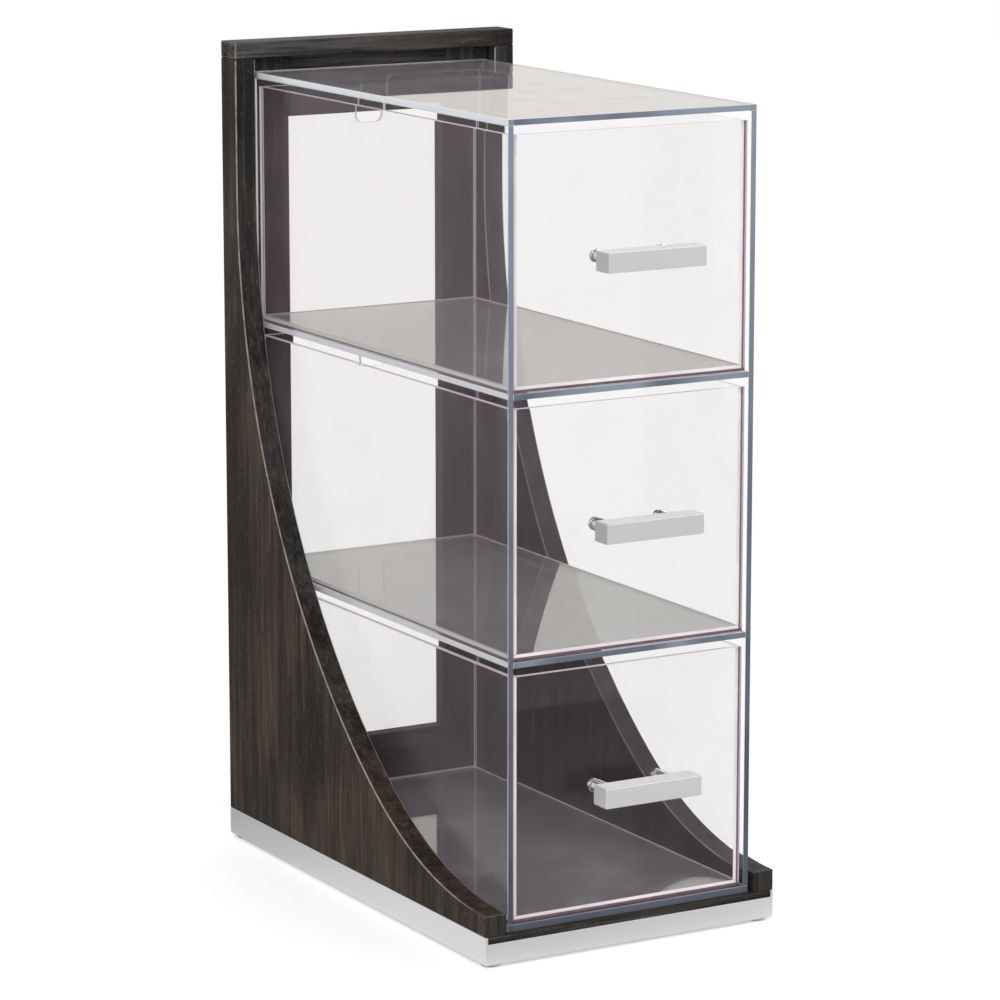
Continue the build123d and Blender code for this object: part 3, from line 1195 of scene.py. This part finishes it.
def bar_handle(tier):
    """One drawer's handle and its two screws."""
    node = f"drawer_{tier}"
    (_, half), (bar_front, bar_back), (bar_low, bar_high) = spans(f"{node}_handle")
    (tube_low, tube_high), (tube_front, tube_back), _ = spans(f"{node}_spacer_right")
    (head_low, head_high), (tip, head_end), _ = spans(f"{node}_screw_right")
    inside_front = spans(f"{node}_front")[1][1]
    middle, place = (bar_low + bar_high) / 2, (tube_low + tube_high) / 2
    bar_sizes = {
        "Length": 2 * half,
        "Height": bar_high - bar_low,
        "Thickness": bar_back - bar_front,
        "Drawer front": tube_back,
        "Middle": middle,
        "Tube length": tube_back - tube_front,
        "Tube radius": (tube_high - tube_low) / 2,
        "Tube place": place,
    }
    screw_sizes = {
        "Inside front": inside_front,
        "Middle": middle,
        "Place": place,
        "Shank radius": SHANK_RADIUS,
        "Shank length": inside_front - tube_front + SHANK_BITE,
        "Head radius": (head_high - head_low) / 2,
        "Head height": head_end - inside_front,
    }
    handle = rounded(grow(f"{node}_bar_handle", handle_group, bar_sizes), HANDLE_ARRIS, segments=3)
    screws = rounded(grow(f"{node}_socket_screws", screw_group, screw_sizes), SCREW_ARRIS)
    for piece, finish in ((handle, "satin_metal_handle"), (screws, "screw_steel")):
        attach(piece, f"{tier}_drawer")
    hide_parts(*[f"{node}_{part}" for part in ("handle", "spacer_left", "spacer_right")])
    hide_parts(f"{node}_screw_left", f"{node}_screw_right")


for tier in TIERS:
    bar_handle(tier)

# %% [markdown]
# ## Tray and bumpers
#
# The tray is folded from sheet: its folds are round, but its cut edges are only just broken. So its
# edges carry a bevel weight, 1 for a fold and less for a cut. It is built from cells, because a
# folded tray is a block with its middle and the top of its front taken away. The four bumpers are
# one disc on four points.

# %% A shape built from cells
def cells(name, breaks, filled):
    """A closed mesh of the filled cells between breaks along X, Y and Z."""
    made, points = bmesh.new(), {}

    def point(*index):
        if index not in points:
            points[index] = made.verts.new([breaks[axis][index[axis]] for axis in range(3)])
        return points[index]

    for cell in filled:
        for axis in range(3):
            for side in (0, 1):
                beside = list(cell)
                beside[axis] += 2 * side - 1
                if tuple(beside) in filled:
                    continue
                ring = []
                for first, second in ((0, 0), (1, 0), (1, 1), (0, 1)):
                    corner = list(cell)
                    corner[axis] += side
                    corner[(axis + 1) % 3] += first
                    corner[(axis + 2) % 3] += second
                    ring.append(point(*corner))
                made.faces.new(ring if side else reversed(ring))
    bmesh.ops.dissolve_limit(made, angle_limit=radians(1), verts=made.verts, edges=made.edges)
    mesh = bpy.data.meshes.new(name)
    made.to_mesh(mesh)
    made.free()
    return mesh


# %% The folded tray
FOLD_RADIUS = 1.0 * MM
CUT_SHARE = 0.3


def folded_tray():
    """A bottom, three full walls and a lower lip at the front."""
    (left, right), (near, far), (low, high) = spans("tray")
    breaks = (
        (left, left + TRAY_SHEET, right - TRAY_SHEET, right),
        (near, near + TRAY_SHEET, far - TRAY_SHEET, far),
        (low, low + TRAY_SHEET, lip_top, high),
    )
    filled = {(x, y, 0) for x in range(3) for y in range(3)}
    filled |= {(x, y, z) for x in range(3) for y in range(3) for z in (1, 2) if (x, y) != (1, 1)}
    filled.remove((1, 0, 2))
    mesh = cells("folded_tray", breaks, filled)
    mesh.materials.append(tray_metal)
    weights = mesh.attributes.new("bevel_weight_edge", "FLOAT", "EDGE")
    for edge, weight in zip(mesh.edges, weights.data):
        ends = [mesh.vertices[index].co for index in edge.vertices]
        upright = abs(ends[0].z - ends[1].z) > TRAY_SHEET
        at_bottom = all(end.z < low + 0.1 * MM for end in ends)
        weight.value = 1.0 if at_bottom and not upright else CUT_SHARE
    tray = rounded(link(mesh), FOLD_RADIUS, segments=3)
    tray.modifiers["rounded"].limit_method = "WEIGHT"
    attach(tray, "frame")
    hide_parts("tray")
    print("tray:", len(filled), "cells,", len(mesh.polygons), "faces")


folded_tray()

# %% The bumpers' tree
BUMPER_INPUTS = ("Radius", "Height", "Left", "Front", "Across", "Deep")
BUMPER_SIDES = 48


def bumper_tree():
    """A disc on each corner of a grid."""
    shape, size, group = shape_tree("round_bumpers", BUMPER_INPUTS)
    disc = rod(shape, size("Radius"), size("Height"), BUMPER_SIDES)
    grid = shape.node("GeometryNodeMeshGrid", None, size("Across"), size("Deep"), 2, 2)
    middle_x, middle_y = size("Left") + size("Across") * 0.5, size("Front") + size("Deep") * 0.5
    corners = moved(shape, grid, shape.vector(middle_x, middle_y, size("Height") * 0.5))
    discs = shape.node("GeometryNodeInstanceOnPoints", None, Points=corners, Instance=disc)
    handed_over(shape, discs, bumper_rubber)
    return group


# %% The four bumpers
FOOT_NODES = [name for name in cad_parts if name.startswith("foot_")]
BUMPER_ARRIS = 0.7 * MM


def bumpers():
    """All four bumpers as one piece, placed by two that are opposite each other."""
    (left, inner), (near, _), (low, high) = spans("foot_front_left")
    (right, _), (far, _), _ = spans("foot_back_right")
    radius = (inner - left) / 2
    sizes = {
        "Radius": radius,
        "Height": high - low,
        "Left": left + radius,
        "Front": near + radius,
        "Across": right - left,
        "Deep": far - near,
    }
    feet = rounded(grow("round_bumpers", bumper_tree(), sizes), BUMPER_ARRIS, segments=3)
    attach(feet, "frame")
    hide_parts(*FOOT_NODES)


bumpers()
